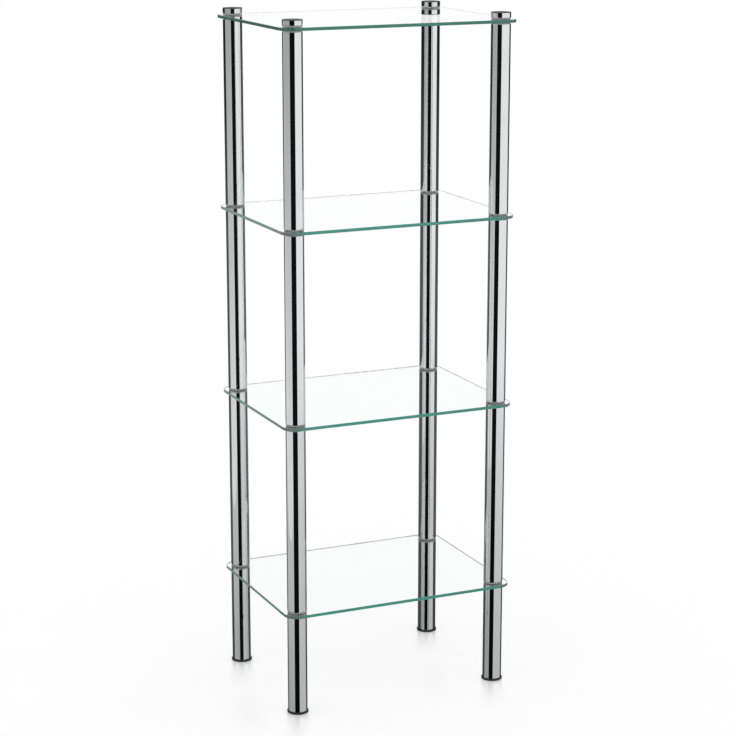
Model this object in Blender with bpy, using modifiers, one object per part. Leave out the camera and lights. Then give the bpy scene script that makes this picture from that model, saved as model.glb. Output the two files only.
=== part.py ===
"""Glass shelving unit, in metres, +Z up, standing on z = 0 with its front towards -Y.

Four clear glass shelves hang on four round chrome posts. Each post is a stack of tubes: a
short leg and three long tubes, with a shelf clamped at every joint. A threaded stud runs
through the hole in the glass and screws into the plugged tube ends above and below. A soft
grommet lines the hole, and its two flanges keep the steel off the glass. A chrome cap closes
each post on the top shelf, and a black foot screws into each leg, so it can level the unit.
"""

import math

import bpy

# Glass plates
GLASS_WIDTH = 0.400
GLASS_DEPTH = 0.300
GLASS_THICKNESS = 0.005
GLASS_CORNER_RADIUS = 0.022
POST_INSET = 0.0235  # from the glass edges to the axis of a post

# Chrome tubes, with a threaded plug in each end
TUBE_DIAMETER = 0.0318
TUBE_WALL = 0.001
TUBE_END_CHAMFER = 0.0008
POST_LENGTH = 0.300
LEG_LENGTH = 0.160
PLUG_LENGTH = 0.010

# Threaded studs
THREAD_DIAMETER = 0.008
STUD_END_CHAMFER = 0.0008
STUD_END_SETBACK = 0.0005  # a stud stops this far before the inner face of a plug

# Soft grommets in the glass holes
GROMMET_WALL = 0.0037  # of the neck, around the stud
GROMMET_FLANGE_THICKNESS = 0.0018
GROMMET_FLANGE_SETBACK = 0.0004  # on the radius, behind the tube's surface

# Chrome caps
CAP_OVERHANG = 0.0001  # on the radius, past the tube's surface
CAP_HEIGHT = 0.0085
CAP_ROOF = 0.0025  # above the socket
CAP_RIM_RADIUS = 0.0012

# Black feet, screwed in as far as they go
FOOT_OVERHANG = 0.0014  # on the radius, past the tube's surface
FOOT_HEIGHT = 0.0035
FOOT_EDGE_CHAMFER = 0.0006
FOOT_TRAVEL = 0.008  # how far a foot can be screwed out

# Clearances
CONTACT_GAP = 0.0003  # between two faces that touch
THREAD_CLEARANCE = 0.0003  # on the radius, stud to socket and stud to grommet
NECK_CLEARANCE = 0.0003  # on the radius, grommet neck to glass hole

# Facets
TUBE_SEGMENTS = 32
GROMMET_SEGMENTS = 24
STUD_SEGMENTS = 12
CORNER_SEGMENTS = 8
RIM_SEGMENTS = 3

SMOOTH_ANGLE = math.radians(35)
MERGE_DISTANCE = 0.00001

SHELF_NAMES = ("bottom", "lower", "upper", "top")
POST_NAMES = ("lower", "middle", "upper")

# Sizes that follow from the ones above
TUBE_RADIUS = TUBE_DIAMETER / 2
THREAD_RADIUS = THREAD_DIAMETER / 2
SOCKET_RADIUS = THREAD_RADIUS + THREAD_CLEARANCE
STUD_ENGAGEMENT = PLUG_LENGTH - STUD_END_SETBACK
CAP_SOCKET_DEPTH = CAP_HEIGHT - CAP_ROOF
FOOT_STEM_LENGTH = PLUG_LENGTH + FOOT_TRAVEL + CONTACT_GAP
GROMMET_NECK_RADIUS = SOCKET_RADIUS + GROMMET_WALL
GLASS_HOLE_RADIUS = GROMMET_NECK_RADIUS + NECK_CLEARANCE
GROMMET_HEIGHT = GLASS_THICKNESS + 2 * (CONTACT_GAP + GROMMET_FLANGE_THICKNESS)
JOINT_HEIGHT = GROMMET_HEIGHT + 2 * CONTACT_GAP  # from one tube end to the next
SHELF_PITCH = JOINT_HEIGHT + POST_LENGTH
LEG_BASE = FOOT_HEIGHT + CONTACT_GAP
FIRST_JOINT = LEG_BASE + LEG_LENGTH  # top end of a leg
CORNERS = {
    f"{depth_name}_{side_name}": (
        side * (GLASS_WIDTH / 2 - POST_INSET),
        depth * (GLASS_DEPTH / 2 - POST_INSET),
    )
    for depth_name, depth in (("front", -1), ("rear", 1))
    for side_name, side in (("left", -1), ("right", 1))
}


def joint_base(level):
    """Height of the tube end that carries the shelf of this level, counted from the bottom."""
    return FIRST_JOINT + level * SHELF_PITCH


def clear_scene():
    for old in list(bpy.data.objects):
        bpy.data.objects.remove(old, do_unlink=True)


def principled(name, color, roughness, metallic=0.0, transmission=0.0):
    material = bpy.data.materials.new(name)
    material.use_nodes = True
    shader = material.node_tree.nodes["Principled BSDF"]
    shader.inputs["Base Color"].default_value = (*color, 1.0)
    shader.inputs["Roughness"].default_value = roughness
    shader.inputs["Metallic"].default_value = metallic
    shader.inputs["Transmission Weight"].default_value = transmission
    material.diffuse_color = (*color, 1.0)
    material.roughness = roughness
    material.metallic = metallic
    return material


def evaluated_mesh(helper, name):
    """The helper's finished mesh, shaded smooth between its sharp edges. The helper is removed."""
    bpy.context.scene.collection.objects.link(helper)
    bpy.context.view_layer.update()
    graph = bpy.context.evaluated_depsgraph_get()
    mesh = bpy.data.meshes.new_from_object(helper.evaluated_get(graph))
    mesh.name = name
    mesh.shade_smooth()
    mesh.set_sharp_from_angle(angle=SMOOTH_ANGLE)
    bpy.data.objects.remove(helper, do_unlink=True)
    return mesh


def turned_mesh(name, profile, segments, closed):
    """A profile of (radius, height) points turned about Z. It runs down the outer side."""
    count = len(profile)
    edges = [(i, i + 1) for i in range(count - 1)]
    if closed:
        edges.append((count - 1, 0))
    line = bpy.data.meshes.new(name + "_profile")
    line.from_pydata([(radius, 0.0, height) for radius, height in profile], edges, [])
    helper = bpy.data.objects.new(name + "_profile", line)
    screw = helper.modifiers.new("Turn", "SCREW")
    screw.axis = "Z"
    screw.angle = math.tau
    screw.steps = segments
    screw.render_steps = segments
    screw.use_merge_vertices = True
    screw.merge_threshold = MERGE_DISTANCE
    mesh = evaluated_mesh(helper, name)
    bpy.data.meshes.remove(line)
    return mesh


def arc(centre, radius, start, sweep, segments):
    """Points on an arc in a plane, both ends included."""
    angles = [start + sweep * i / segments for i in range(segments + 1)]
    return [
        (centre[0] + radius * math.cos(a), centre[1] + radius * math.sin(a))
        for a in angles
    ]


def glass_mesh():
    """A plate centred on the origin: a rounded rectangle with a round hole at each post."""
    outline = []
    corner_x = GLASS_WIDTH / 2 - GLASS_CORNER_RADIUS
    corner_y = GLASS_DEPTH / 2 - GLASS_CORNER_RADIUS
    for turn, (side, depth) in enumerate(((1, 1), (-1, 1), (-1, -1), (1, -1))):
        centre = (side * corner_x, depth * corner_y)
        quarter = math.pi / 2
        outline += arc(centre, GLASS_CORNER_RADIUS, turn * quarter, quarter, CORNER_SEGMENTS)
    loops = [outline]
    for centre in CORNERS.values():
        loops.append(arc(centre, GLASS_HOLE_RADIUS, 0.0, math.tau, GROMMET_SEGMENTS)[:-1])

    curve = bpy.data.curves.new("glass_outline", "CURVE")
    curve.dimensions = "2D"
    curve.fill_mode = "BOTH"
    curve.extrude = GLASS_THICKNESS / 2
    for loop in loops:
        spline = curve.splines.new("POLY")
        spline.points.add(len(loop) - 1)
        spline.use_cyclic_u = True
        for point, (x, y) in zip(spline.points, loop):
            point.co = (x, y, 0.0, 1.0)
    helper = bpy.data.objects.new("glass_outline", curve)
    weld = helper.modifiers.new("Weld", "WELD")
    weld.merge_threshold = MERGE_DISTANCE
    mesh = evaluated_mesh(helper, "glass_plate")
    bpy.data.curves.remove(curve)
    return mesh


def tube_mesh(name, length):
    """A tube standing on the origin, with a plug in each end and a threaded hole in each plug."""
    inner = TUBE_RADIUS - TUBE_WALL
    profile = [
        (TUBE_RADIUS - TUBE_END_CHAMFER, length),
        (TUBE_RADIUS, length - TUBE_END_CHAMFER),
        (TUBE_RADIUS, TUBE_END_CHAMFER),
        (TUBE_RADIUS - TUBE_END_CHAMFER, 0.0),
        (SOCKET_RADIUS, 0.0),
        (SOCKET_RADIUS, PLUG_LENGTH),
        (inner, PLUG_LENGTH),
        (inner, length - PLUG_LENGTH),
        (SOCKET_RADIUS, length - PLUG_LENGTH),
        (SOCKET_RADIUS, length),
    ]
    return turned_mesh(name, profile, TUBE_SEGMENTS, closed=True)


def grommet_mesh():
    """A ring of H section standing on the origin, with the glass in its outer groove."""
    flange = TUBE_RADIUS - GROMMET_FLANGE_SETBACK
    groove_top = GROMMET_HEIGHT - GROMMET_FLANGE_THICKNESS
    profile = [
        (flange, GROMMET_HEIGHT),
        (flange, groove_top),
        (GROMMET_NECK_RADIUS, groove_top),
        (GROMMET_NECK_RADIUS, GROMMET_FLANGE_THICKNESS),
        (flange, GROMMET_FLANGE_THICKNESS),
        (flange, 0.0),
        (SOCKET_RADIUS, 0.0),
        (SOCKET_RADIUS, GROMMET_HEIGHT),
    ]
    return turned_mesh("grommet", profile, GROMMET_SEGMENTS, closed=True)


def stud_mesh(name, length):
    """A plain rod for a threaded stud, standing on the origin, with chamfered ends."""
    profile = [
        (0.0, length),
        (THREAD_RADIUS - STUD_END_CHAMFER, length),
        (THREAD_RADIUS, length - STUD_END_CHAMFER),
        (THREAD_RADIUS, STUD_END_CHAMFER),
        (THREAD_RADIUS - STUD_END_CHAMFER, 0.0),
        (0.0, 0.0),
    ]
    return turned_mesh(name, profile, STUD_SEGMENTS, closed=False)


def cap_mesh():
    """A flat round cap standing on the origin, with a rounded rim and a socket for the stud."""
    radius = TUBE_RADIUS + CAP_OVERHANG
    rim_centre = (radius - CAP_RIM_RADIUS, CAP_HEIGHT - CAP_RIM_RADIUS)
    profile = [(0.0, CAP_HEIGHT)]
    profile += arc(rim_centre, CAP_RIM_RADIUS, math.pi / 2, -math.pi / 2, RIM_SEGMENTS)
    profile += [
        (radius, 0.0),
        (SOCKET_RADIUS, 0.0),
        (SOCKET_RADIUS, CAP_SOCKET_DEPTH),
        (0.0, CAP_SOCKET_DEPTH),
    ]
    return turned_mesh("cap", profile, TUBE_SEGMENTS, closed=False)


def foot_mesh():
    """A disc on the floor with a threaded stem on top, its origin on the stem's axis."""
    disc = TUBE_RADIUS + FOOT_OVERHANG
    top = FOOT_HEIGHT + FOOT_STEM_LENGTH
    profile = [
        (0.0, top),
        (THREAD_RADIUS - STUD_END_CHAMFER, top),
        (THREAD_RADIUS, top - STUD_END_CHAMFER),
        (THREAD_RADIUS, FOOT_HEIGHT),
        (disc - FOOT_EDGE_CHAMFER, FOOT_HEIGHT),
        (disc, FOOT_HEIGHT - FOOT_EDGE_CHAMFER),
        (disc, FOOT_EDGE_CHAMFER),
        (disc - FOOT_EDGE_CHAMFER, 0.0),
        (0.0, 0.0),
    ]
    return turned_mesh("foot", profile, TUBE_SEGMENTS, closed=False)


class Assembly:
    """Places the pieces in one collection, under one empty at the unit's origin."""

    def __init__(self, name):
        self.collection = bpy.data.collections.new(name)
        bpy.context.scene.collection.children.link(self.collection)
        self.origin = bpy.data.objects.new(name + "_origin", None)
        self.collection.objects.link(self.origin)

    def place(self, name, mesh, material, location):
        piece = bpy.data.objects.new(name, mesh)
        piece.location = location
        piece.parent = self.origin
        if not mesh.materials:
            mesh.materials.append(material)
        self.collection.objects.link(piece)


def build_shelves(unit):
    glass = principled("clear_glass", (0.93, 0.98, 0.96), 0.02, transmission=1.0)
    plate = glass_mesh()
    for level, shelf in enumerate(SHELF_NAMES):
        middle = joint_base(level) + JOINT_HEIGHT / 2
        unit.place(f"{shelf}_shelf", plate, glass, (0.0, 0.0, middle))


def build_posts(unit):
    chrome = principled("chrome_tube", (0.72, 0.73, 0.75), 0.08, metallic=1.0)
    leg = tube_mesh("leg_tube", LEG_LENGTH)
    post = tube_mesh("post_tube", POST_LENGTH)
    for corner, (x, y) in CORNERS.items():
        unit.place(f"leg_{corner}", leg, chrome, (x, y, LEG_BASE))
        for level, name in enumerate(POST_NAMES):
            base = joint_base(level) + JOINT_HEIGHT
            unit.place(f"{name}_post_{corner}", post, chrome, (x, y, base))


def build_joints(unit):
    """A grommet and a stud at each post of each shelf."""
    soft = principled("grey_grommet", (0.22, 0.23, 0.23), 0.55)
    steel = principled("steel_stud", (0.55, 0.56, 0.57), 0.35, metallic=1.0)
    grommet = grommet_mesh()
    stud = stud_mesh("stud", JOINT_HEIGHT + 2 * STUD_ENGAGEMENT)
    cap_engagement = CAP_SOCKET_DEPTH - CONTACT_GAP
    cap_stud = stud_mesh("cap_stud", JOINT_HEIGHT + STUD_ENGAGEMENT + cap_engagement)
    for level, shelf in enumerate(SHELF_NAMES):
        base = joint_base(level)
        rod = cap_stud if shelf == SHELF_NAMES[-1] else stud
        for corner, (x, y) in CORNERS.items():
            unit.place(f"{shelf}_grommet_{corner}", grommet, soft, (x, y, base + CONTACT_GAP))
            unit.place(f"{shelf}_stud_{corner}", rod, steel, (x, y, base - STUD_ENGAGEMENT))


def build_caps(unit):
    chrome = principled("chrome_cap", (0.70, 0.71, 0.73), 0.10, metallic=1.0)
    cap = cap_mesh()
    base = joint_base(len(SHELF_NAMES) - 1) + JOINT_HEIGHT
    for corner, (x, y) in CORNERS.items():
        unit.place(f"cap_{corner}", cap, chrome, (x, y, base))


def build_feet(unit):
    black = principled("black_foot", (0.015, 0.015, 0.016), 0.5)
    foot = foot_mesh()
    for corner, (x, y) in CORNERS.items():
        unit.place(f"foot_{corner}", foot, black, (x, y, 0.0))


def main():
    clear_scene()
    unit = Assembly("glass_shelving_unit")
    build_shelves(unit)
    build_posts(unit)
    build_joints(unit)
    build_caps(unit)
    build_feet(unit)


if __name__ == "__main__":
    main()
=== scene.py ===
"""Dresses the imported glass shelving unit: clear glass shelves with green edges on chrome posts.

Laid out as an add-on: settings, one operator for each group of like pieces and one for the
stage, and a panel that lists them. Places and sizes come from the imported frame, in metres,
with +Z up and the unit's front towards -Y.
"""

import math

import bmesh
import bpy
import numpy as np
from bpy.props import FloatProperty, FloatVectorProperty, IntProperty, PointerProperty
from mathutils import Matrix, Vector


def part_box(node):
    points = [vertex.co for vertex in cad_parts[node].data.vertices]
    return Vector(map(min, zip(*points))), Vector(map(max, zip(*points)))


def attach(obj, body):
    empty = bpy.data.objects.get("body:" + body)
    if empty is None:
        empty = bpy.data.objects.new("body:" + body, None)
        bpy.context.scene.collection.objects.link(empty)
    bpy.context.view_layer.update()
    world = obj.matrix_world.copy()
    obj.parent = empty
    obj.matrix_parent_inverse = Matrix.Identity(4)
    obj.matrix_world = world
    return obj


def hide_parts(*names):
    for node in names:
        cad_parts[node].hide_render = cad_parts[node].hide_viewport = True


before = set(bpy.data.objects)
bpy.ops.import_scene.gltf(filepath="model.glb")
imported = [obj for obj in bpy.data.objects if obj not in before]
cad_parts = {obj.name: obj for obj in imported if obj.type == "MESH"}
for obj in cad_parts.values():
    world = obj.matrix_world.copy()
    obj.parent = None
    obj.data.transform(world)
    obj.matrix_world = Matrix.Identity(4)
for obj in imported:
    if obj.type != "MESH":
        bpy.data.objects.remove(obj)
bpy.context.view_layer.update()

bl_info = {
    "name": "Glass Shelving Unit",
    "version": (1, 0, 0),
    "blender": (4, 5, 0),
    "location": "View3D > Sidebar > Shelving",
    "description": "Glass shelves on chrome posts, built over a packed frame",
    "category": "Object",
}

SHELVES = ("bottom", "lower", "upper", "top")
POSTS = ("lower", "middle", "upper")
CORNERS = ("front_left", "front_right", "rear_left", "rear_right")
MIRRORS = ((1, 1), (-1, 1), (-1, -1), (1, -1))

WELD_DISTANCE = 1e-6
SHARP_ANGLE = math.radians(32)
AXIS = 0.0  # radius of a profile's end on the axis
SQUARE = 0.0  # rounding of a corner that stays square
BESIDE = 3  # roundings away from a corner, where an extra point keeps the side flat

# Faces round the axis of a turned piece
TUBE_SEGMENTS = 96
CAP_SEGMENTS = 96
GROMMET_SEGMENTS = 72
FOOT_SEGMENTS = 64
STUD_SEGMENTS = 24

# Small roundings and chamfers, in metres
SOCKET_LEAD_IN = 0.0004
CAP_BASE_ROUNDING = 0.0003
GROMMET_BORE_ROUNDING = 0.0002
ROD_CHAMFER = 0.0008

# Shares of a plate's half width or half depth between which a zone of its edge's painted shading comes
# in
SIDE_SHADING_ZONE = (0.93, 1.0)
CORNER_SHADING_ZONE_X = (0.81, 0.965)
CORNER_SHADING_ZONE_Y = (0.76, 0.925)

# The floor, in metres
FLOOR_RINGS = ((AXIS, 0.0), (2.0, 0.0), (40.0, 0.0))  # radius and height
FLOOR_SEGMENTS = 64
SHEEN_START = 0.02  # from a foot's axis, where the gloss begins to fade
SHEEN_FALL = 2.5  # power of that fade
# Painted shade: polished metal sees the floor darker near the unit than far from it, over these
# distances
POLISH_SHADE_LEVELS = (0.56, 0.98)  # the floor in polished metal, near the unit and far from it
POLISH_REACH = (0.05, 2.5)

SENSOR_WIDTH = 36.0  # millimetres
GLASS_IOR = 1.52
NODE_STEP = (220, -260)  # from one column or row of a node tree to the next


def frame_size(node):
    """Width, depth and height of a node of the frame."""
    low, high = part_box(node)
    return high - low


def frame_axis(node):
    """(x, y) of the upright axis of a round node of the frame."""
    low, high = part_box(node)
    return (low.x + high.x) / 2, (low.y + high.y) / 2


def frame_heights(node):
    """Lowest and highest z of a node of the frame."""
    low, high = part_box(node)
    return low.z, high.z


POST_AXIS = frame_axis("leg_rear_right")
TUBE_RADIUS = frame_size("leg_rear_right").x / 2
STUD_RADIUS = frame_size("top_stud_rear_right").x / 2
FLANGE_RADIUS = frame_size("top_grommet_rear_right").x / 2


class ShelfSettings(bpy.types.PropertyGroup):
    """Glass shelves."""

    corner_radius: FloatProperty(
        name="Corner radius", description="Rounding of a plate's corners, seen from above",
        default=0.022, min=0.005, max=0.023, unit="LENGTH")
    arris: FloatProperty(
        name="Arris", description="Ground bevel along every edge of the glass",
        default=0.0005, min=0.0001, max=0.002, unit="LENGTH")
    hole_radius: FloatProperty(
        name="Hole radius", description="Radius of the holes for the posts",
        default=0.0083, min=0.004, max=0.014, unit="LENGTH")
    face_tint: FloatVectorProperty(
        name="Face tint", description="Tint of a large face of the glass",
        default=(0.990, 0.997, 0.995), subtype="COLOR", min=0.0, max=1.0)
    edge_tint: FloatVectorProperty(
        name="Edge tint", description="Green of the polished front and back edges",
        default=(0.060, 0.412, 0.318), subtype="COLOR", min=0.0, max=1.0)
    # Painted shade and reflection: the side edges take a darker green and the corners a grey green,
    # standing in for how edges seen at a slant reflect the room
    side_edge_painted_shading: FloatVectorProperty(
        name="Side edge tint", description="Greyer green of the polished side edges",
        default=(0.075, 0.258, 0.206), subtype="COLOR", min=0.0, max=1.0)
    corner_painted_shading: FloatVectorProperty(
        name="Corner tint", description="Grey green of the edges round the corners",
        default=(0.180, 0.235, 0.205), subtype="COLOR", min=0.0, max=1.0)
    # Painted shade: the top shelf's edges take darker and greyer copies of the other shelves' tints;
    # only their satin roughness belongs to the glass
    top_edge_painted_shade: FloatVectorProperty(
        name="Top edge tint", description="Green of the top shelf's satin front and back edges",
        default=(0.046, 0.278, 0.212), subtype="COLOR", min=0.0, max=1.0)
    top_side_edge_painted_shading: FloatVectorProperty(
        name="Top side edge tint", description="Green of the top shelf's satin side edges",
        default=(0.115, 0.262, 0.205), subtype="COLOR", min=0.0, max=1.0)
    top_corner_painted_shading: FloatVectorProperty(
        name="Top corner tint", description="Green of the top shelf's satin edges round the corners",
        default=(0.075, 0.195, 0.150), subtype="COLOR", min=0.0, max=1.0)
    body_tint: FloatVectorProperty(
        name="Body tint", description="Colour that deep glass takes",
        default=(0.20, 0.45, 0.39), subtype="COLOR", min=0.0, max=1.0)
    depth_of_tint: FloatProperty(
        name="Depth of tint", description="How fast the glass takes its body tint, per metre",
        default=3.5, min=0.0, max=60.0)


class TubeSettings(bpy.types.PropertyGroup):
    """Chrome tubes of the posts and legs."""

    end_rounding: FloatProperty(
        name="End rounding", description="Rounding of the outer edge at a tube's ends",
        default=0.0004, min=0.0001, max=0.003, unit="LENGTH")
    wall: FloatProperty(
        name="Wall", description="Thickness of the tube's wall",
        default=0.001, min=0.0005, max=0.003, unit="LENGTH")
    plug_length: FloatProperty(
        name="Plug length", description="Length of the threaded plug in each end",
        default=0.010, min=0.004, max=0.03, unit="LENGTH")
    socket_radius: FloatProperty(
        name="Socket radius", description="Radius of the hole that takes a stud",
        default=0.0043, min=0.002, max=0.008, unit="LENGTH")
    colour: FloatVectorProperty(
        name="Chrome", description="Colour of the plating",
        default=(0.755, 0.780, 0.787), subtype="COLOR", min=0.0, max=1.0)
    roughness: FloatProperty(
        name="Roughness", description="Roughness of clean plating",
        default=0.03, min=0.0, max=1.0, subtype="FACTOR")


class CapSettings(bpy.types.PropertyGroup):
    """Chrome caps on the top shelf."""

    rim_radius: FloatProperty(
        name="Rim radius", description="Rounding of the upper rim",
        default=0.0010, min=0.0002, max=0.004, unit="LENGTH")
    socket_depth: FloatProperty(
        name="Socket depth", description="Depth of the hole that takes the stud",
        default=0.006, min=0.002, max=0.008, unit="LENGTH")
    colour: FloatVectorProperty(
        name="Chrome", description="Colour of the side",
        default=(0.735, 0.760, 0.767), subtype="COLOR", min=0.0, max=1.0)
    top_colour: FloatVectorProperty(
        name="Top", description="Colour of the dark top",
        default=(0.060, 0.062, 0.065), subtype="COLOR", min=0.0, max=1.0)
    roughness: FloatProperty(
        name="Roughness", description="Roughness of clean plating",
        default=0.05, min=0.0, max=1.0, subtype="FACTOR")


class GrommetSettings(bpy.types.PropertyGroup):
    """Grey grommets in the holes of the glass."""

    flange_thickness: FloatProperty(
        name="Flange", description="Thickness of a flange",
        default=0.0018, min=0.0005, max=0.004, unit="LENGTH")
    neck_radius: FloatProperty(
        name="Neck radius", description="Radius of the neck inside the glass",
        default=0.0080, min=0.004, max=0.013, unit="LENGTH")
    edge_rounding: FloatProperty(
        name="Edge rounding", description="Rounding of the flanges' rims",
        default=0.0005, min=0.0001, max=0.0009, unit="LENGTH")
    colour: FloatVectorProperty(
        name="Grey", description="Colour of the moulded plastic",
        default=(0.30, 0.305, 0.305), subtype="COLOR", min=0.0, max=1.0)


class ThreadSettings(bpy.types.PropertyGroup):
    """Threads of the studs and of the feet's stems."""

    pitch: FloatProperty(
        name="Pitch", description="Height of one turn of the thread",
        default=0.00125, min=0.0005, max=0.003, unit="LENGTH")
    depth: FloatProperty(
        name="Depth", description="Depth of the thread on the radius",
        default=0.0005, min=0.0001, max=0.001, unit="LENGTH")
    rows_per_turn: IntProperty(
        name="Rows per turn", description="Rows of the mesh in one turn of the thread",
        default=8, min=4, max=24)
    steel: FloatVectorProperty(
        name="Steel", description="Colour of the zinc-plated steel",
        default=(0.50, 0.51, 0.52), subtype="COLOR", min=0.0, max=1.0)


class FootSettings(bpy.types.PropertyGroup):
    """Black levelling feet."""

    disc_height: FloatProperty(
        name="Disc height", description="Height of the disc under the leg",
        default=0.0035, min=0.001, max=0.01, unit="LENGTH")
    edge_rounding: FloatProperty(
        name="Edge rounding", description="Rounding of the disc's rim",
        default=0.0009, min=0.0002, max=0.0017, unit="LENGTH")
    colour: FloatVectorProperty(
        name="Black", description="Colour of the moulded plastic",
        default=(0.014, 0.014, 0.015), subtype="COLOR", min=0.0, max=1.0)


class StageSettings(bpy.types.PropertyGroup):
    """Floor, light and camera."""

    azimuth: FloatProperty(
        name="Azimuth", description="Turn of the camera round the unit from its front",
        default=math.radians(-24.21), subtype="ANGLE")
    elevation: FloatProperty(
        name="Elevation", description="Height of the camera above the horizon",
        default=math.radians(13.75), subtype="ANGLE")
    distance: FloatProperty(
        name="Distance", description="From the camera to the point it looks at",
        default=3.582, min=1.0, max=20.0, unit="LENGTH")
    look_at: FloatVectorProperty(
        name="Look at", description="Point in the middle of the picture",
        default=(0.005, 0.0, 0.5263), subtype="TRANSLATION", unit="LENGTH")
    lens: FloatProperty(
        name="Lens", description="Focal length in millimetres on a 36 mm sensor",
        default=106.21, min=20.0, max=300.0)
    floor_colour: FloatVectorProperty(
        name="Floor", description="Colour of the pale floor",
        default=(0.62, 0.62, 0.62), subtype="COLOR", min=0.0, max=1.0)
    floor_sheen: FloatProperty(
        name="Floor sheen", description="Share of the floor's gloss, seen by the camera",
        default=0.36, min=0.0, max=1.0, subtype="FACTOR")
    sheen_reach: FloatProperty(
        name="Sheen reach", description="Distance from a foot's axis at which the gloss is gone",
        default=0.18, min=0.03, max=1.0, unit="LENGTH")
    floor_grain: FloatProperty(
        name="Floor grain", description="Largest slope of the fine grain that softens the gloss",
        default=0.12, min=0.0, max=0.3)
    room_light: FloatProperty(
        name="Room light", description="Strength of the even light of the room",
        default=1.0, min=0.0, max=2.0)


class UnitSettings(bpy.types.PropertyGroup):
    """All settings of the shelving unit."""

    shelf: PointerProperty(type=ShelfSettings)
    tube: PointerProperty(type=TubeSettings)
    cap: PointerProperty(type=CapSettings)
    grommet: PointerProperty(type=GrommetSettings)
    thread: PointerProperty(type=ThreadSettings)
    foot: PointerProperty(type=FootSettings)
    stage: PointerProperty(type=StageSettings)


# Shapes


def rounded(corners, steps):
    """An outline through corners of (x, y, rounding), its round corners drawn as arcs.

    Corner P has unit vectors u and v to its neighbours and half the angle a between them. Its
    arc of radius R runs about P + R (u + v) / (|u + v| sin a), between the two points of the
    sides that lie R / tan a from P. A rounding of 0 keeps the corner.
    """
    table = np.asarray(corners, float)
    point, radius = table[:, :2], table[:, 2:]
    before, after = np.roll(point, 1, 0) - point, np.roll(point, -1, 0) - point
    before /= np.linalg.norm(before, axis=1, keepdims=True)
    after /= np.linalg.norm(after, axis=1, keepdims=True)
    half = np.arccos(np.clip((before * after).sum(1, keepdims=True), -1, 1)) / 2
    inward = before + after
    inward /= np.maximum(np.linalg.norm(inward, axis=1, keepdims=True), 1e-9)
    centre = point + inward * radius / np.sin(half)
    start = point + before * radius / np.tan(half) - centre
    end = point + after * radius / np.tan(half) - centre
    sweep = np.maximum(math.pi - 2 * half, 1e-6)[:, None]
    share = np.linspace(0, 1, steps + 1)[None, :, None]
    arcs = np.sin((1 - share) * sweep) * start[:, None] + np.sin(share * sweep) * end[:, None]
    return (centre[:, None] + arcs / np.sin(sweep)).reshape(-1, 2)


def turned(profile, segments, axis, thread=None):
    """A profile of (radius, z) carried round an upright axis.

    Point (i, j) lies at angle t = 2 pi j / segments, at radius r_i and height z_i. A thread is
    (pitch, depth, share_i) and takes depth share_i (1 - cos(2 pi z_i / pitch - t)) / 2 off r_i.
    """
    radius, height = np.asarray(profile, float).T
    turn = np.linspace(0, math.tau, segments, endpoint=False)[None, :]
    reach = np.repeat(radius[:, None], segments, 1)
    if thread:
        pitch, depth, share = thread
        wave = (1 - np.cos(math.tau * height[:, None] / pitch - turn)) / 2
        reach = reach - depth * np.asarray(share, float)[:, None] * wave
    level = np.repeat(height[:, None], segments, 1)
    return np.stack((axis[0] + reach * np.cos(turn), axis[1] + reach * np.sin(turn), level), -1)


def mesh_of(name, patches, materials):
    """One closed mesh from grids of points, joined along the points they share.

    A patch is (points in rows and columns, whether the rows close, whether the columns close,
    index of its material).
    """
    points, quads, finishes = [], [], []
    start = 0
    for grid, rows_close, columns_close, finish in patches:
        rows, columns = grid.shape[:2]
        index = start + np.arange(rows * columns).reshape(rows, columns)
        index = np.vstack((index, index[:1])) if rows_close else index
        index = np.hstack((index, index[:, :1])) if columns_close else index
        corners = (index[:-1, :-1], index[:-1, 1:], index[1:, 1:], index[1:, :-1])
        quads.append(np.stack(corners, -1).reshape(-1, 4))
        points.append(grid.reshape(-1, 3))
        finishes.append(np.full(len(quads[-1]), finish))
        start += rows * columns
    mesh = bpy.data.meshes.new(name)
    mesh.from_pydata(np.concatenate(points), [], np.concatenate(quads))
    mesh.polygons.foreach_set("material_index", np.concatenate(finishes).astype(np.int32))
    work = bmesh.new()
    work.from_mesh(mesh)
    bmesh.ops.remove_doubles(work, verts=work.verts, dist=WELD_DISTANCE)
    bmesh.ops.recalc_face_normals(work, faces=work.faces)
    work.to_mesh(mesh)
    work.free()
    for material in materials:
        mesh.materials.append(material)
    mesh.shade_smooth()
    mesh.set_sharp_from_angle(angle=SHARP_ANGLE)
    return mesh


def dress(name, mesh, node, body):
    """Puts a finished mesh in the place of a node of the frame."""
    piece = bpy.data.objects.new(name, mesh)
    bpy.context.scene.collection.objects.link(piece)
    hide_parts(node)
    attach(piece, body)


def between(first, last, count, keep_last=False):
    """Points on a straight line from first to last, in equal steps, as an array."""
    share = np.linspace(0, 1, count + 1)[:, None]
    line = np.asarray(first, float) * (1 - share) + np.asarray(last, float) * share
    return line if keep_last else line[:-1]


def rectangle(low, high, columns, rows):
    """A flat grid of points between two corners: x runs along the columns, y along the rows."""
    x, y = np.meshgrid(
        np.linspace(low[0], high[0], columns + 1), np.linspace(low[1], high[1], rows + 1))
    return np.stack((x, y), -1)


def raised(flat, height):
    """A flat grid of points at a height, or at one height for each row."""
    level = np.broadcast_to(np.asarray(height, float), flat.shape[:2])
    return np.concatenate((flat, level[..., None]), -1)


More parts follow.
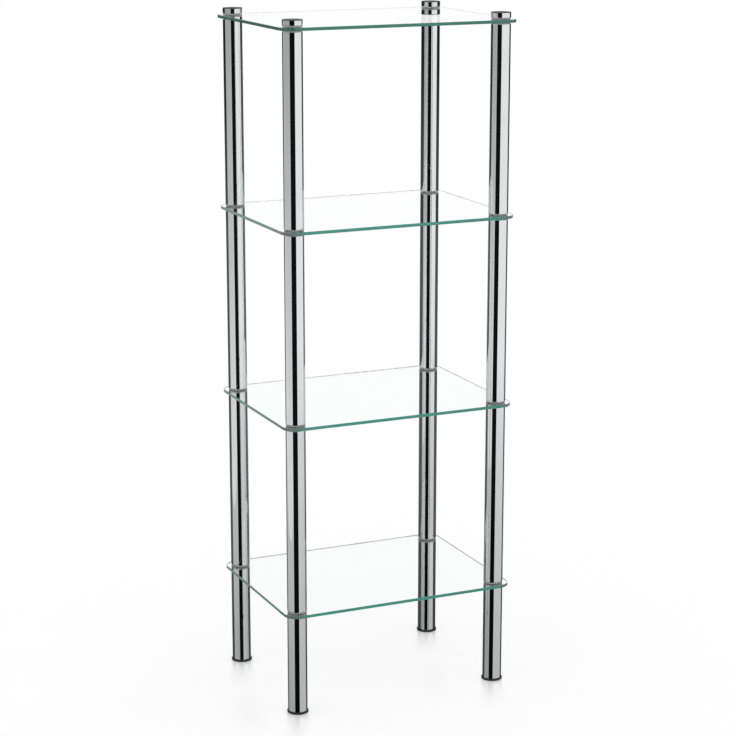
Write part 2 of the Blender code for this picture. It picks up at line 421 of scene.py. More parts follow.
def plate_patches(settings, half_width, half_depth, low, high, hole):
    """The patches of a glass plate, for one quarter and mirrored to the other three.

    Round a hole, a flat face is a fan: point (s, t) = (1 - s) rim(t) + s border(t), with rim on
    the hole's edge and border on the border of the corner cell, whose outer corner is round. Even
    grids fill the rest of the face. The outer edge is a bevelled profile carried along the
    outline, and the wall of the hole is the same profile carried round the rim.
    """
    arris = settings.arris
    face_x, face_y = half_width - arris, half_depth - arris
    radius = settings.corner_radius - arris
    inner_x, inner_y = 2 * hole[0] - half_width, 2 * hole[1] - half_depth
    arc_x, arc_y = face_x - radius, face_y - radius
    side, arc, cell, span, spokes = 6, 28, 16, 24, 4  # steps of the mesh along each part

    angle = np.linspace(0, math.pi / 2, arc, endpoint=False)[:, None]
    bend = np.concatenate((np.cos(angle), np.sin(angle)), 1)
    outer = np.concatenate((
        between((face_x, inner_y), (face_x, arc_y), side),
        (arc_x, arc_y) + radius * bend,
        between((arc_x, face_y), (inner_x, face_y), side),
    ))
    border = np.concatenate((
        outer,
        between((inner_x, face_y), (inner_x, inner_y), cell),
        between((inner_x, inner_y), (face_x, inner_y), cell),
    ))
    spoke = border - hole
    spoke /= np.linalg.norm(spoke, axis=1, keepdims=True)
    rim = hole + (settings.hole_radius + arris) * spoke
    share = np.linspace(0, 1, spokes + 1)[:, None, None]
    fan = (1 - share) * rim + share * border

    path = np.concatenate((
        between((face_x, 0.0), (face_x, inner_y), span),
        outer,
        between((inner_x, face_y), (0.0, face_y), span, keep_last=True),
    ))
    facing = np.concatenate((
        np.repeat([[1.0, 0.0]], span + side, 0),
        bend,
        np.repeat([[0.0, 1.0]], side + span + 1, 0),
    ))
    offset = np.array((0.0, arris, arris, 0.0))
    level = np.array((high, high - arris, low + arris, low))[:, None]
    edge = raised(path + offset[:, None, None] * facing, level)
    wall = raised(rim - offset[:, None, None] * spoke, level)

    quarter = [(edge, False, False, 1), (wall, False, True, 0)]
    for height in (high, low):
        quarter += [
            (raised(fan, height), False, True, 0),
            (raised(rectangle((inner_x, 0.0), (face_x, inner_y), cell, span), height), False, False, 0),
            (raised(rectangle((0.0, inner_y), (inner_x, face_y), span, cell), height), False, False, 0),
            (raised(rectangle((0.0, 0.0), (inner_x, inner_y), span, span), height), False, False, 0),
        ]
    return [
        (grid * (mirror_x, mirror_y, 1.0), rows_close, columns_close, finish)
        for mirror_x, mirror_y in MIRRORS
        for grid, rows_close, columns_close, finish in quarter
    ]


# Materials


def feed(tree, node, inputs):
    """Sets sockets of a node. inputs maps them to values, or to sockets to link from."""
    for socket, value in inputs.items():
        if isinstance(value, bpy.types.NodeSocket):
            tree.links.new(value, node.inputs[socket])
        else:
            node.inputs[socket].default_value = value


def add_node(tree, kind, column, row, inputs=None, **settings):
    """A node at a place in a tree, with its settings and its sockets."""
    node = tree.nodes.new(kind)
    node.location = (NODE_STEP[0] * column, NODE_STEP[1] * row)
    for name, value in settings.items():
        setattr(node, name, value)
    feed(tree, node, inputs or {})
    return node


def add_math(tree, column, row, operation, first, second):
    """The result of an operation on two values."""
    return add_node(
        tree, "ShaderNodeMath", column, row, {0: first, 1: second}, operation=operation).outputs[0]


def add_range(tree, column, row, value, low, high, from_low=0.0, from_high=1.0):
    """Maps a value between from_low and from_high to one between low and high."""
    return add_node(tree, "ShaderNodeMapRange", column, row, {
        "Value": value, "From Min": from_low, "From Max": from_high, "To Min": low, "To Max": high,
    }).outputs["Result"]


def add_blend(tree, column, row, share, first, second):
    """A mix of two colours."""
    return add_node(
        tree, "ShaderNodeMix", column, row, {0: share, 6: first, 7: second}, data_type="RGBA",
    ).outputs[2]


def new_group(name, inputs, outputs):
    """An empty shader node group with value and vector sockets."""
    tree = bpy.data.node_groups.new(name, "ShaderNodeTree")
    for socket, kind, default in inputs:
        made = tree.interface.new_socket(name=socket, in_out="INPUT", socket_type=kind)
        if default is not None:
            made.default_value = default
    for socket in outputs:
        tree.interface.new_socket(name=socket, in_out="OUTPUT", socket_type="NodeSocketFloat")
    return tree, tree.nodes.new("NodeGroupInput"), tree.nodes.new("NodeGroupOutput")


def handling_marks():
    """Group: soft smudges from hands and cloths, and fine polishing lines, both from 0 to 1."""
    name = "Handling marks"
    if name in bpy.data.node_groups:
        return bpy.data.node_groups[name]
    tree, source, result = new_group(
        name,
        [("Vector", "NodeSocketVector", None), ("Line Vector", "NodeSocketVector", None),
         ("Smudge Scale", "NodeSocketFloat", 16.0), ("Line Scale", "NodeSocketFloat", 900.0)],
        ("Smudges", "Lines"),
    )
    broad = add_node(tree, "ShaderNodeTexNoise", 1, 0, {
        "Vector": source.outputs["Vector"], "Scale": source.outputs["Smudge Scale"],
        "Detail": 4.0, "Roughness": 0.6, "Distortion": 0.8})
    patch = add_range(tree, 2, 0, broad.outputs["Fac"], 0.0, 1.0, from_low=0.46, from_high=0.72)
    fine = add_node(tree, "ShaderNodeTexNoise", 1, 1, {
        "Vector": source.outputs["Vector"], "Scale": 420.0, "Detail": 3.0, "Roughness": 0.6})
    grit = add_range(tree, 2, 1, fine.outputs["Fac"], 0.55, 1.0, from_low=0.35, from_high=0.65)
    lines = add_node(tree, "ShaderNodeTexNoise", 1, 2, {
        "Vector": source.outputs["Line Vector"], "Scale": source.outputs["Line Scale"],
        "Detail": 2.0, "Roughness": 0.55})
    feed(tree, result, {
        "Smudges": add_math(tree, 3, 0, "MULTIPLY", patch, grit), "Lines": lines.outputs["Fac"]})
    return tree


def moulded_grain():
    """Group: the fine pebbled skin of moulded plastic and its slow change of tone, from 0 to 1."""
    name = "Moulded grain"
    if name in bpy.data.node_groups:
        return bpy.data.node_groups[name]
    tree, source, result = new_group(
        name,
        [("Vector", "NodeSocketVector", None), ("Grain Scale", "NodeSocketFloat", 2200.0)],
        ("Grain", "Tone"),
    )
    pebbles = add_node(tree, "ShaderNodeTexVoronoi", 1, 0, {
        "Vector": source.outputs["Vector"], "Scale": source.outputs["Grain Scale"]})
    tone = add_node(tree, "ShaderNodeTexNoise", 1, 1, {
        "Vector": source.outputs["Vector"], "Scale": 180.0, "Detail": 4.0, "Roughness": 0.65})
    spread = add_range(tree, 2, 1, tone.outputs["Fac"], 0.0, 1.0, from_low=0.3, from_high=0.7)
    feed(tree, result, {"Grain": pebbles.outputs["Distance"], "Tone": spread})
    return tree


def painted_shading_zones():
    """Group: how far a point of a plate is on its sides, and round its corners, from 0 to 1, which
    places the painted shading of its edges.

    Each is a ramp of |x| / half width, for the corners times a ramp of |y| / half depth.
    """
    name = "Plate zones"
    if name in bpy.data.node_groups:
        return bpy.data.node_groups[name]
    tree, source, result = new_group(
        name, [("Vector", "NodeSocketVector", None)], ("Side", "Corner"))
    half = frame_size("top_shelf") / 2
    folded = add_node(
        tree, "ShaderNodeVectorMath", 1, 0, {0: source.outputs["Vector"]}, operation="ABSOLUTE")
    split = add_node(tree, "ShaderNodeSeparateXYZ", 2, 0, {"Vector": folded.outputs[0]}).outputs
    side, outer_x, outer_y = (
        add_range(tree, 3, row, split[axis], 0.0, 1.0, zone[0] * reach, zone[1] * reach)
        for row, (axis, zone, reach) in enumerate((
            ("X", SIDE_SHADING_ZONE, half.x), ("X", CORNER_SHADING_ZONE_X, half.x), ("Y", CORNER_SHADING_ZONE_Y, half.y))))
    feed(tree, result, {
        "Side": side, "Corner": add_math(tree, 4, 1, "MULTIPLY", outer_x, outer_y)})
    return tree


def new_material(name):
    """A material with a Principled shader. Returns it with its tree, shader and coordinates."""
    material = bpy.data.materials.new(name)
    material.use_nodes = True
    tree = material.node_tree
    place = add_node(tree, "ShaderNodeTexCoord", -6, 0).outputs["Object"]
    return material, tree, tree.nodes["Principled BSDF"], place


def shade(colour, share):
    """A colour as a socket value, its brightness times share."""
    return tuple(min(1.0, channel * share) for channel in colour) + (1.0,)


def add_marks(tree, place, smudge_scale, line_scale, line_stretch=(1.0, 1.0, 1.0)):
    """Places the handling marks in a material, their lines drawn out by a stretch on each axis.

    Returns the outputs Smudges and Lines.
    """
    along = add_node(
        tree, "ShaderNodeMapping", -5, 1, {"Vector": place, "Scale": line_stretch}).outputs[0]
    marks = add_node(tree, "ShaderNodeGroup", -4, 0, {
        "Vector": place, "Line Vector": along, "Smudge Scale": smudge_scale, "Line Scale": line_scale,
    }, node_tree=handling_marks())
    return marks.outputs["Smudges"], marks.outputs["Lines"]


def add_painted_shading(tree, place, front, sides, corners):
    """One colour from three: the tint of a plate's front and back, and the painted shading on its sides
    and round its corners.
    """
    zones = add_node(tree, "ShaderNodeGroup", -5, 4, {"Vector": place}, node_tree=painted_shading_zones())
    tint = add_blend(tree, -4, 4, zones.outputs["Side"], shade(front, 1.0), shade(sides, 1.0))
    return add_blend(tree, -3, 4, zones.outputs["Corner"], tint, shade(corners, 1.0))


def add_bump(tree, height, strength, distance):
    """A normal that leans with a height from 0 to 1, where 1 stands for the distance."""
    return add_node(tree, "ShaderNodeBump", -1, 3, {
        "Strength": strength, "Distance": distance, "Height": height}).outputs["Normal"]


def chrome_material(name, colour, roughness, line_stretch):
    """Polished chrome plating with smudges and faint polishing lines."""
    material, tree, shader, place = new_material(name)
    smudges, lines = add_marks(
        tree, place, smudge_scale=16.0, line_scale=900.0, line_stretch=line_stretch)
    feed(tree, shader, {
        "Base Color": add_blend(tree, -2, 0, smudges, shade(colour, 1.0), shade(colour, 0.95)),
        "Roughness": add_range(tree, -2, 1, smudges, low=roughness, high=roughness + 0.05),
        "Metallic": 1.0,
        "Normal": add_bump(tree, lines, strength=0.012, distance=0.00001),
    })
    return material


def plastic_material(name, colour, grain_scale, low_roughness, high_roughness, gloss=0.5):
    """Moulded plastic with a pebbled skin."""
    material, tree, shader, place = new_material(name)
    skin = add_node(tree, "ShaderNodeGroup", -4, 0, {
        "Vector": place, "Grain Scale": grain_scale}, node_tree=moulded_grain())
    grain, tone = skin.outputs["Grain"], skin.outputs["Tone"]
    feed(tree, shader, {
        "Base Color": add_blend(tree, -2, 0, tone, shade(colour, 0.88), shade(colour, 1.12)),
        "Roughness": add_range(tree, -2, 1, tone, low=low_roughness, high=high_roughness),
        "Specular IOR Level": gloss,
        "Normal": add_bump(tree, grain, strength=0.12, distance=0.00005),
    })
    return material


def steel_material(name, colour):
    """Zinc-plated steel, a little cloudy."""
    material, tree, shader, place = new_material(name)
    smudges, lines = add_marks(tree, place, smudge_scale=120.0, line_scale=1500.0)
    feed(tree, shader, {
        "Base Color": add_blend(tree, -2, 0, smudges, shade(colour, 1.05), shade(colour, 0.8)),
        "Roughness": add_range(tree, -2, 1, lines, low=0.25, high=0.45),
        "Metallic": 1.0,
        "Normal": add_bump(tree, lines, strength=0.2, distance=0.00002),
    })
    return material


def glass_material(name, tints, roughness, clearness, settings):
    """Glass with a green body. Smudges make it a little less clear in places.

    It has one tint all over, or the three of the zones of a plate, whose side and corner tints are
    painted shade and reflection.
    """
    material, tree, shader, place = new_material(name)
    smudges, lines = add_marks(tree, place, smudge_scale=9.0, line_scale=60.0)
    tint = add_painted_shading(tree, place, *tints) if len(tints) > 1 else tints[0]
    dimming = add_range(tree, -3, 0, smudges, low=1.0, high=0.988)
    dimmed = add_node(
        tree, "ShaderNodeVectorMath", -2, 0, {0: tint, "Scale": dimming}, operation="SCALE")
    feed(tree, shader, {
        "Base Color": dimmed.outputs[0],
        "Roughness": add_range(tree, -2, 1, smudges, low=roughness, high=roughness + 0.003),
        "Normal": add_bump(tree, lines, strength=0.02, distance=0.00001),
        "Metallic": 0.0,
        "Transmission Weight": clearness,
        "IOR": GLASS_IOR,
    })
    body = add_node(tree, "ShaderNodeVolumeAbsorption", 0, 3, {
        "Color": shade(settings.body_tint, 1.0), "Density": settings.depth_of_tint})
    feed(tree, tree.nodes["Material Output"], {"Volume": body.outputs["Volume"]})
    return material


# Pieces


class SHELVING_OT_shelves(bpy.types.Operator):
    """Builds the four glass shelves"""

    bl_idname = "shelving_unit.shelves"
    bl_label = "Glass Shelves"

    def execute(self, context):
        settings = context.scene.shelving_unit.shelf
        faces = glass_material(
            "clear_glass_face", (settings.face_tint,),
            roughness=0.0, clearness=1.0, settings=settings)
        # The edges' side and corner tints are painted shade and reflection
        edges = glass_material(
            "clear_glass_edge",
            (settings.edge_tint, settings.side_edge_painted_shading, settings.corner_painted_shading),
            roughness=0.0, clearness=0.35, settings=settings)
        # The top shelf's satin edges also carry painted shade in their darker tints
        satin = glass_material(
            "satin_shaded_glass_edge",
            (settings.top_edge_painted_shade, settings.top_side_edge_painted_shading, settings.top_corner_painted_shading),
            roughness=0.012, clearness=0.35, settings=settings)
        for shelf in SHELVES:
            node = f"{shelf}_shelf"
            size = frame_size(node)
            low, high = frame_heights(node)
            patches = plate_patches(settings, size.x / 2, size.y / 2, low, high, POST_AXIS)
            mesh = mesh_of(f"glass_{node}", patches, (faces, satin if shelf == "top" else edges))
            dress(f"glass_{node}", mesh, node, "unit")
        return {"FINISHED"}


class SHELVING_OT_tubes(bpy.types.Operator):
    """Builds the chrome tubes of the posts and legs"""

    bl_idname = "shelving_unit.tubes"
    bl_label = "Chrome Tubes"

    def execute(self, context):
        settings = context.scene.shelving_unit.tube
        chrome = chrome_material(
            "chrome_plated_tube", settings.colour, settings.roughness,
            line_stretch=(1.0, 1.0, 0.02))
        nodes = [f"leg_{corner}" for corner in CORNERS]
        nodes += [f"{post}_post_{corner}" for post in POSTS for corner in CORNERS]
        for node in nodes:
            profile = self.profile(settings, *frame_heights(node))
            patch = (turned(profile, TUBE_SEGMENTS, frame_axis(node)), True, True, 0)
            mesh = mesh_of(f"tube_{node}", [patch], (chrome,))
            dress(f"tube_{node}", mesh, node, "unit")
        return {"FINISHED"}

    def profile(self, settings, low, high):
        """Section of the wall and of the plugs, closed."""
        outer, socket = TUBE_RADIUS, settings.socket_radius
        inner = outer - settings.wall
        end, plug = settings.end_rounding, settings.plug_length
        straight = BESIDE * end
        return rounded((
            (outer, high, end),
            (outer, high - straight, SQUARE),
            (outer, low + straight, SQUARE),
            (outer, low, end),
            (outer - straight, low, SQUARE),
            (socket, low, SOCKET_LEAD_IN),
            (socket, low + plug, SQUARE),
            (inner, low + plug, SQUARE),
            (inner, high - plug, SQUARE),
            (socket, high - plug, SQUARE),
            (socket, high, SOCKET_LEAD_IN),
            (outer - straight, high, SQUARE),
        ), steps=5)


class SHELVING_OT_caps(bpy.types.Operator):
    """Builds the chrome caps on the top shelf"""

    bl_idname = "shelving_unit.caps"
    bl_label = "Chrome Caps"

    def execute(self, context):
        unit = context.scene.shelving_unit
        settings, socket = unit.cap, unit.tube.socket_radius
        low, high = frame_heights("cap_front_left")
        rim = settings.rim_radius
        chrome = chrome_material(
            "chrome_plated_cap", settings.colour, settings.roughness,
            line_stretch=(1.0, 1.0, 0.05))
        dark = plastic_material(
            "dark_cap_top", settings.top_colour, grain_scale=2200.0,
            low_roughness=0.5, high_roughness=0.65, gloss=0.15)
        outer = frame_size("cap_front_left").x / 2
        base, roof = CAP_BASE_ROUNDING, low + settings.socket_depth
        shoulder = high - 1.1 * rim  # where the dark top meets the chrome side
        top = rounded((
            (AXIS, high, SQUARE),
            (outer / 2, high, SQUARE),
            (outer, high, rim),
            (outer, shoulder, SQUARE),
        ), steps=6)
        side = rounded((
            (outer, shoulder, SQUARE),
            (outer, low + BESIDE * base, SQUARE),
            (outer, low, base),
            (outer - BESIDE * base, low, SQUARE),
            (socket, low, base),
            (socket, roof, SQUARE),
            (AXIS, roof, SQUARE),
        ), steps=6)
        for corner in CORNERS:
            node = f"cap_{corner}"
            axis = frame_axis(node)
            patches = (
                (turned(side, CAP_SEGMENTS, axis), False, True, 0),
                (turned(top, CAP_SEGMENTS, axis), False, True, 1),
            )
            mesh = mesh_of(f"chrome_{node}", patches, (chrome, dark))
            dress(f"chrome_{node}", mesh, node, "unit")
        return {"FINISHED"}


class SHELVING_OT_grommets(bpy.types.Operator):
    """Builds the grey grommets that hold the glass"""

    bl_idname = "shelving_unit.grommets"
    bl_label = "Grey Grommets"

    def execute(self, context):
        unit = context.scene.shelving_unit
        settings, bore = unit.grommet, unit.tube.socket_radius
        grey = plastic_material(
            "grey_moulded_grommet", settings.colour, grain_scale=2600.0,
            low_roughness=0.4, high_roughness=0.55)
        for shelf in SHELVES:
            for corner in CORNERS:
                node = f"{shelf}_grommet_{corner}"
                profile = self.profile(settings, bore, *frame_heights(node))
                patch = (turned(profile, GROMMET_SEGMENTS, frame_axis(node)), True, True, 0)
                mesh = mesh_of(f"grey_{node}", [patch], (grey,))
                dress(f"grey_{node}", mesh, node, "unit")
        return {"FINISHED"}

    def profile(self, settings, bore, low, high):
        """H section: two flanges with round rims, and the neck between them."""
        rim, flange, neck = settings.edge_rounding, FLANGE_RADIUS, settings.neck_radius
        thick, corner = settings.flange_thickness, GROMMET_BORE_ROUNDING
        inside = flange - BESIDE * rim
        return rounded((
            (flange, high, rim),
            (flange, high - thick, rim),
            (inside, high - thick, SQUARE),
            (neck, high - thick, corner),
            (neck, low + thick, corner),
            (inside, low + thick, SQUARE),
            (flange, low + thick, rim),
            (flange, low, rim),
            (inside, low, SQUARE),
            (bore, low, corner),
            (bore, high, corner),
            (inside, high, SQUARE),
        ), steps=4)


def threaded_rod(radius, low, high, thread):
    """Rows of a threaded rod from its lower to its upper end: (radius, z) and the thread's share.

    At a distance d from its nearer end the rod has the radius min(R, R - chamfer + d), and the
    thread's share is d / pitch, 1 at most.
    """
    count = int(math.ceil((high - low) / thread.pitch)) * thread.rows_per_turn
    height = np.linspace(low, high, count + 1)
    from_end = np.minimum(height - low, high - height)
    reach = np.minimum(radius, radius - ROD_CHAMFER + from_end)
    share = np.clip(from_end / thread.pitch, 0.0, 1.0)
    return np.column_stack((reach, height)), share


class SHELVING_OT_studs(bpy.types.Operator):
    """Builds the threaded studs inside the joints"""

    bl_idname = "shelving_unit.studs"
    bl_label = "Threaded Studs"

    def execute(self, context):
        thread = context.scene.shelving_unit.thread
        steel = steel_material("zinc_plated_stud", thread.steel)
        for shelf in SHELVES:
            for corner in CORNERS:
                node = f"{shelf}_stud_{corner}"
                low, high = frame_heights(node)
                rows, share = threaded_rod(STUD_RADIUS, low, high, thread)
                profile = np.vstack(((AXIS, low), rows, (AXIS, high)))
                share = np.concatenate(((0.0,), share, (0.0,)))
                grid = turned(
                    profile, STUD_SEGMENTS, frame_axis(node), (thread.pitch, thread.depth, share))
                mesh = mesh_of(f"threaded_{node}", [(grid, False, True, 0)], (steel,))
                dress(f"threaded_{node}", mesh, node, "unit")
        return {"FINISHED"}


class SHELVING_OT_feet(bpy.types.Operator):
    """Builds the black levelling feet"""

    bl_idname = "shelving_unit.feet"
    bl_label = "Levelling Feet"

    def execute(self, context):
        unit = context.scene.shelving_unit
        settings, thread = unit.foot, unit.thread
        black = plastic_material(
            "black_moulded_foot", settings.colour, grain_scale=1800.0,
            low_roughness=0.38, high_roughness=0.52)
        low, top = frame_heights("foot_front_left")
        disc, rim = frame_size("foot_front_left").x / 2, settings.edge_rounding
        inside = disc - BESIDE * rim
        deck = low + settings.disc_height
        base = rounded((
            (AXIS, low, SQUARE),
            (inside, low, SQUARE),
            (disc, low, rim),
            (disc, deck, rim),
            (inside, deck, SQUARE),
            (STUD_RADIUS, deck, SQUARE),
        ), steps=6)
        rod, share = threaded_rod(STUD_RADIUS, deck, top, thread)
        share[: thread.rows_per_turn] = 0.0  # a plain neck where the stem leaves the disc
        rod[: thread.rows_per_turn, 0] = STUD_RADIUS
        profile = np.vstack((base, rod, (AXIS, top)))
        share = np.concatenate((np.zeros(len(base)), share, (0.0,)))
        for corner in CORNERS:
            node = f"foot_{corner}"
            grid = turned(
                profile, FOOT_SEGMENTS, frame_axis(node), (thread.pitch, thread.depth, share))
            mesh = mesh_of(f"black_{node}", [(grid, False, True, 0)], (black,))
            dress(f"black_{node}", mesh, node, node)
        return {"FINISHED"}


# Stage


def direction(azimuth, elevation=0.0):
    """Unit vector from the unit towards an azimuth, counted from its front, and an elevation."""
    level = math.cos(elevation)
    return Vector((
        math.sin(azimuth) * level, -math.cos(azimuth) * level, math.sin(elevation)))


def seen_from_camera(settings, right, depth):
    """(x, y) of a floor point right of the unit's middle and beyond it, as the camera sees it."""
    turn = settings.azimuth
    return (
        right * math.cos(turn) - depth * math.sin(turn),
        right * math.sin(turn) + depth * math.cos(turn))


def add_card(name, left, right, high, material):
    """An upright card over two floor points, which only reflections show."""
    foot = np.array([(*left, 0.0), (*right, 0.0)])
    grid = np.stack((foot, foot + (0.0, 0.0, high)))
    card = bpy.data.objects.new(name, mesh_of(name, [(grid, False, False, 0)], (material,)))
    bpy.context.scene.collection.objects.link(card)
    card.visible_camera = card.visible_diffuse = card.visible_shadow = False


def card_material(name, levels, heights, through_glass):
    """A card's painted reflection: it glows, a little uneven, at a level that changes evenly between
    two heights, though it is no lamp.

    Metal and satin edges show it, with through_glass also where they show it through a shelf.
    Other rays pass through it.
    """
    material, tree, shader, place = new_material(name)
    rays = add_node(tree, "ShaderNodeLightPath", -6, 2).outputs
    bent = rays["Is Transmission Ray"]
    sharp = add_math(tree, -5, 2, "SUBTRACT", rays["Is Singular Ray"], bent)
    first = add_math(tree, -5, 3, "LESS_THAN", rays["Glossy Depth"], 1.5)
    in_glass = add_math(tree, -4, 2, "MULTIPLY", sharp, first)
    if through_glass:
        bent = add_math(tree, -4, 3, "LESS_THAN", rays["Glossy Depth"], 0.5)
    hidden = add_math(tree, -3, 2, "MAXIMUM", in_glass, bent)
    height = add_node(tree, "ShaderNodeSeparateXYZ", -5, 1, {"Vector": place}).outputs["Z"]
    painted_glow = add_node(tree, "ShaderNodeTexNoise", -5, 0, {"Vector": place, "Scale": 6.0})
    level = add_range(tree, -4, 1, height, *levels, *heights)
    unevenness = add_range(tree, -4, 0, painted_glow.outputs["Fac"], low=0.97, high=1.03)
    tone = add_math(tree, -3, 0, "MULTIPLY", level, unevenness)
    # Painted reflection: the card glows at its dark or grey level, though it is no lamp
    glow = add_node(tree, "ShaderNodeEmission", -2, 0, {"Color": tone, "Strength": 1.0})
    gap = add_node(tree, "ShaderNodeBsdfTransparent", -2, 1)
    mixed = add_node(
        tree, "ShaderNodeMixShader", -1, 0, {0: hidden, 1: glow.outputs[0], 2: gap.outputs[0]})
    tree.nodes.remove(shader)
    feed(tree, tree.nodes["Material Output"], {"Surface": mixed.outputs[0]})
    return material


def floor_material(settings):
    """A pale floor with a faint gloss. Polished metal sees it as a mirror of the white room, darkened
    near the unit by painted shade.

    The gloss is softened by a grain: at each point its normal leans by a random slope. At a
    distance d from the nearest foot's axis it has the share ((reach - d) / (reach - start)) ^ fall.
    """
    material, tree, shader, place = new_material("pale_studio_floor")
    tree.nodes.remove(shader)
    rays = add_node(tree, "ShaderNodeLightPath", -6, 2).outputs
    tone = add_node(tree, "ShaderNodeTexNoise", -5, 0, {"Vector": place, "Scale": 2.0})
    colour = add_blend(
        tree, -4, 0, tone.outputs["Fac"],
        shade(settings.floor_colour, 0.995), shade(settings.floor_colour, 1.005))
    matt = add_node(tree, "ShaderNodeBsdfDiffuse", -3, 0, {"Color": colour})
    seen = add_math(tree, -5, 2, "MAXIMUM", rays["Is Camera Ray"], rays["Is Transmission Ray"])
    lift = add_math(tree, -4, 2, "MULTIPLY", seen, 1.0 - settings.floor_colour[0])
    white = add_node(tree, "ShaderNodeEmission", -3, 1, {"Strength": lift})
    base = add_node(tree, "ShaderNodeAddShader", -2, 0, {0: matt.outputs[0], 1: white.outputs[0]})
    slope = settings.floor_grain
    grain = add_node(tree, "ShaderNodeTexWhiteNoise", -5, 5, {"Vector": place})
    tilted = add_node(tree, "ShaderNodeVectorMath", -4, 5, {
        0: grain.outputs["Color"], 1: (2 * slope, 2 * slope, 0.0), 2: (-slope, -slope, 1.0),
    }, operation="MULTIPLY_ADD")
    normal = add_node(
        tree, "ShaderNodeVectorMath", -3, 5, {0: tilted.outputs[0]}, operation="NORMALIZE")
    gloss = add_node(tree, "ShaderNodeBsdfAnisotropic", -2, 1, {
        "Color": (1.0, 1.0, 1.0, 1.0), "Roughness": 0.0, "Normal": normal.outputs[0]})
    folded = add_node(tree, "ShaderNodeVectorMath", -6, 1, {0: place}, operation="ABSOLUTE")
    from_foot = add_node(
        tree, "ShaderNodeVectorMath", -5, 1, {0: folded.outputs[0], 1: (*POST_AXIS, 0.0)},
        operation="DISTANCE").outputs["Value"]
    share = add_range(tree, -4, 1, from_foot, 1.0, 0.0, SHEEN_START, settings.sheen_reach)
    fade = add_math(tree, -3, 6, "POWER", share, SHEEN_FALL)
    sheen = add_math(tree, -2, 6, "MULTIPLY", fade, settings.floor_sheen)
    look = add_node(tree, "ShaderNodeMixShader", -1, 0, {
        0: sheen, 1: base.outputs[0], 2: gloss.outputs[0]})

    # Painted shade in the mirror: the floor that metal sees goes from dark near the unit to nearly
    # white far off
    reach = add_node(
        tree, "ShaderNodeVectorMath", -5, 4, {0: place}, operation="LENGTH").outputs["Value"]
    near = add_range(tree, -4, 3, reach, *POLISH_SHADE_LEVELS, *POLISH_REACH)
    polish = add_node(tree, "ShaderNodeBsdfAnisotropic", -2, 3, {
        "Color": near, "Roughness": 0.03})
    through = add_math(tree, -3, 3, "LESS_THAN", rays["Glossy Depth"], 0.5)
    through = add_math(tree, -2, 4, "MULTIPLY", rays["Is Transmission Ray"], through)
    mirrored = add_math(tree, -1, 2, "SUBTRACT", rays["Is Glossy Ray"], through)
    mixed = add_node(tree, "ShaderNodeMixShader", 0, 0, {
        0: mirrored, 1: look.outputs[0], 2: polish.outputs[0]})
    feed(tree, tree.nodes["Material Output"], {"Surface": mixed.outputs[0]})
    return material


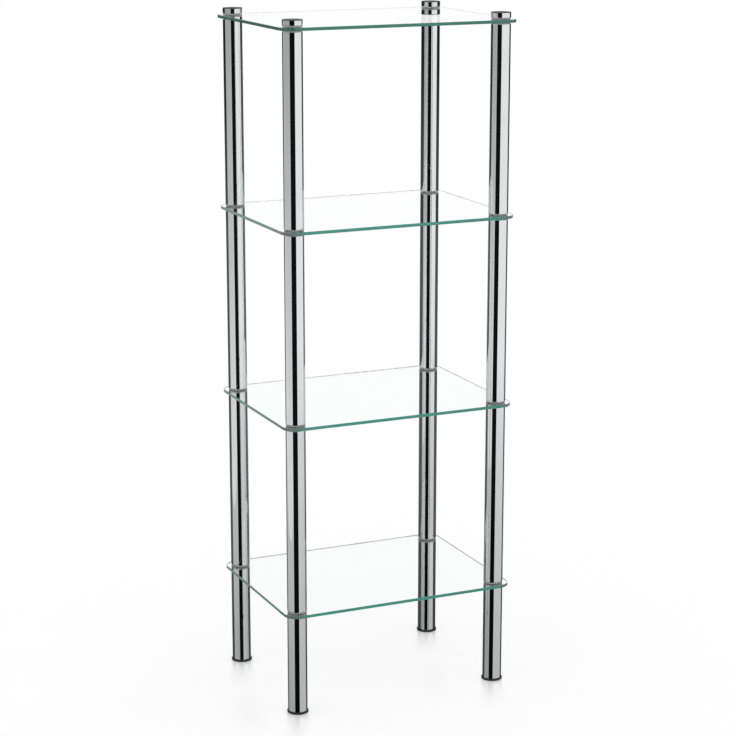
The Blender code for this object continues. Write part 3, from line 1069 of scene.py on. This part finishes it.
class SHELVING_OT_stage(bpy.types.Operator):
    """Sets the floor, the light and the camera"""

    bl_idname = "shelving_unit.stage"
    bl_label = "Stage"

    def execute(self, context):
        settings = context.scene.shelving_unit.stage
        scene = context.scene
        self.floor(scene, settings)
        self.cards(settings)
        self.light(scene, settings)
        self.camera(scene, settings)
        scene.view_settings.view_transform = "Standard"
        scene.cycles.max_bounces = 32
        scene.cycles.glossy_bounces = 24
        scene.cycles.transmission_bounces = 24
        scene.cycles.blur_glossy = 0.0
        return {"FINISHED"}

    def floor(self, scene, settings):
        """A round floor: its rings carried round the origin."""
        patch = (turned(FLOOR_RINGS, FLOOR_SEGMENTS, (0.0, 0.0)), False, True, 0)
        mesh = mesh_of("studio_floor", [patch], (floor_material(settings),))
        mesh.flip_normals()
        floor = bpy.data.objects.new("studio_floor", mesh)
        scene.collection.objects.link(floor)

    def cards(self, settings):
        """A black card before the unit, a grey screen on its left and two dark flags behind it, which
        glow as painted reflections.

        The ends of each are given to the right of the unit's middle and beyond it.
        """
        # Painted reflections for metal and glass: the black card and the flags glow dark, the grey
        # screen grey and darker higher up
        black = card_material(
            "black_card_painted_reflection", levels=(0.006, 0.006), heights=(0.0, 1.0), through_glass=True)
        grey = card_material(
            "grey_screen_painted_reflection", levels=(0.84, 0.46), heights=(0.20, 1.00), through_glass=False)
        dark = card_material(
            "dark_flag_painted_reflection", levels=(0.10, 0.02), heights=(0.65, 0.95), through_glass=False)
        for name, painted_glow, high, left, right in (
            ("black_card", black, 1.4, (-0.55, -0.95), (0.46, -1.40)),
            ("grey_screen", grey, 1.4, (-1.60, 0.90), (-0.45, -1.60)),
            ("left_flag", dark, 1.2, (-0.47, 0.055), (-0.42, 1.00)),
            ("right_flag", dark, 1.2, (0.63, 0.133), (0.42, 1.00)),
        ):
            ends = [seen_from_camera(settings, *end) for end in (left, right)]
            add_card(name, *ends, high, painted_glow)

    def light(self, scene, settings):
        """An even white room, plain white to the camera and in reflections and glass."""
        world = bpy.data.worlds.new("white_room")
        scene.world = world
        world.use_nodes = True
        tree = world.node_tree
        tree.nodes.clear()
        rays = add_node(tree, "ShaderNodeLightPath", 0, 0).outputs
        seen = add_math(tree, 1, 0, "MAXIMUM", rays["Is Camera Ray"], rays["Is Glossy Ray"])
        seen = add_math(tree, 2, 0, "MAXIMUM", seen, rays["Is Transmission Ray"])
        room = add_node(tree, "ShaderNodeBackground", 2, 1, {
            "Color": (1.0, 1.0, 1.0, 1.0), "Strength": settings.room_light})
        white = add_node(tree, "ShaderNodeBackground", 2, 2, {
            "Color": (1.0, 1.0, 1.0, 1.0), "Strength": 1.0})
        mixed = add_node(tree, "ShaderNodeMixShader", 3, 0, {
            0: seen, 1: room.outputs[0], 2: white.outputs[0]})
        add_node(tree, "ShaderNodeOutputWorld", 4, 0, {"Surface": mixed.outputs[0]})

    def camera(self, scene, settings):
        """A camera at the photograph's viewing angle."""
        lens = bpy.data.cameras.new("camera")
        lens.lens, lens.sensor_width = settings.lens, SENSOR_WIDTH
        camera = bpy.data.objects.new("camera", lens)
        back = direction(settings.azimuth, settings.elevation)
        camera.location = Vector(settings.look_at) + settings.distance * back
        camera.rotation_euler = (-back).to_track_quat("-Z", "Y").to_euler()
        scene.collection.objects.link(camera)
        scene.camera = camera


class VIEW3D_PT_shelving_unit(bpy.types.Panel):
    """Lists the settings and the steps of the shelving unit"""

    bl_label = "Shelving Unit"
    bl_space_type = "VIEW_3D"
    bl_region_type = "UI"
    bl_category = "Shelving"

    def draw(self, context):
        unit = context.scene.shelving_unit
        for operator, group in STEPS:
            box = self.layout.box()
            box.operator(operator.bl_idname)
            settings = getattr(unit, group)
            for name in settings.__annotations__:
                box.prop(settings, name)


STEPS = (
    (SHELVING_OT_shelves, "shelf"),
    (SHELVING_OT_tubes, "tube"),
    (SHELVING_OT_caps, "cap"),
    (SHELVING_OT_grommets, "grommet"),
    (SHELVING_OT_studs, "thread"),
    (SHELVING_OT_feet, "foot"),
    (SHELVING_OT_stage, "stage"),
)
GROUPS = (
    ShelfSettings, TubeSettings, CapSettings, GrommetSettings, ThreadSettings, FootSettings,
    StageSettings, UnitSettings,
)
CLASSES = GROUPS + tuple(operator for operator, group in STEPS) + (VIEW3D_PT_shelving_unit,)


def register():
    """Adds the classes and the scene's settings."""
    for added in CLASSES:
        bpy.utils.register_class(added)
    bpy.types.Scene.shelving_unit = PointerProperty(type=UnitSettings)


def unregister():
    """Takes them away again."""
    del bpy.types.Scene.shelving_unit
    for added in reversed(CLASSES):
        bpy.utils.unregister_class(added)


def main():
    """Builds the unit and its stage."""
    register()
    bpy.ops.shelving_unit.shelves()
    bpy.ops.shelving_unit.tubes()
    bpy.ops.shelving_unit.caps()
    bpy.ops.shelving_unit.grommets()
    bpy.ops.shelving_unit.studs()
    bpy.ops.shelving_unit.feet()
    bpy.ops.shelving_unit.stage()


if __name__ == "__main__":
    main()
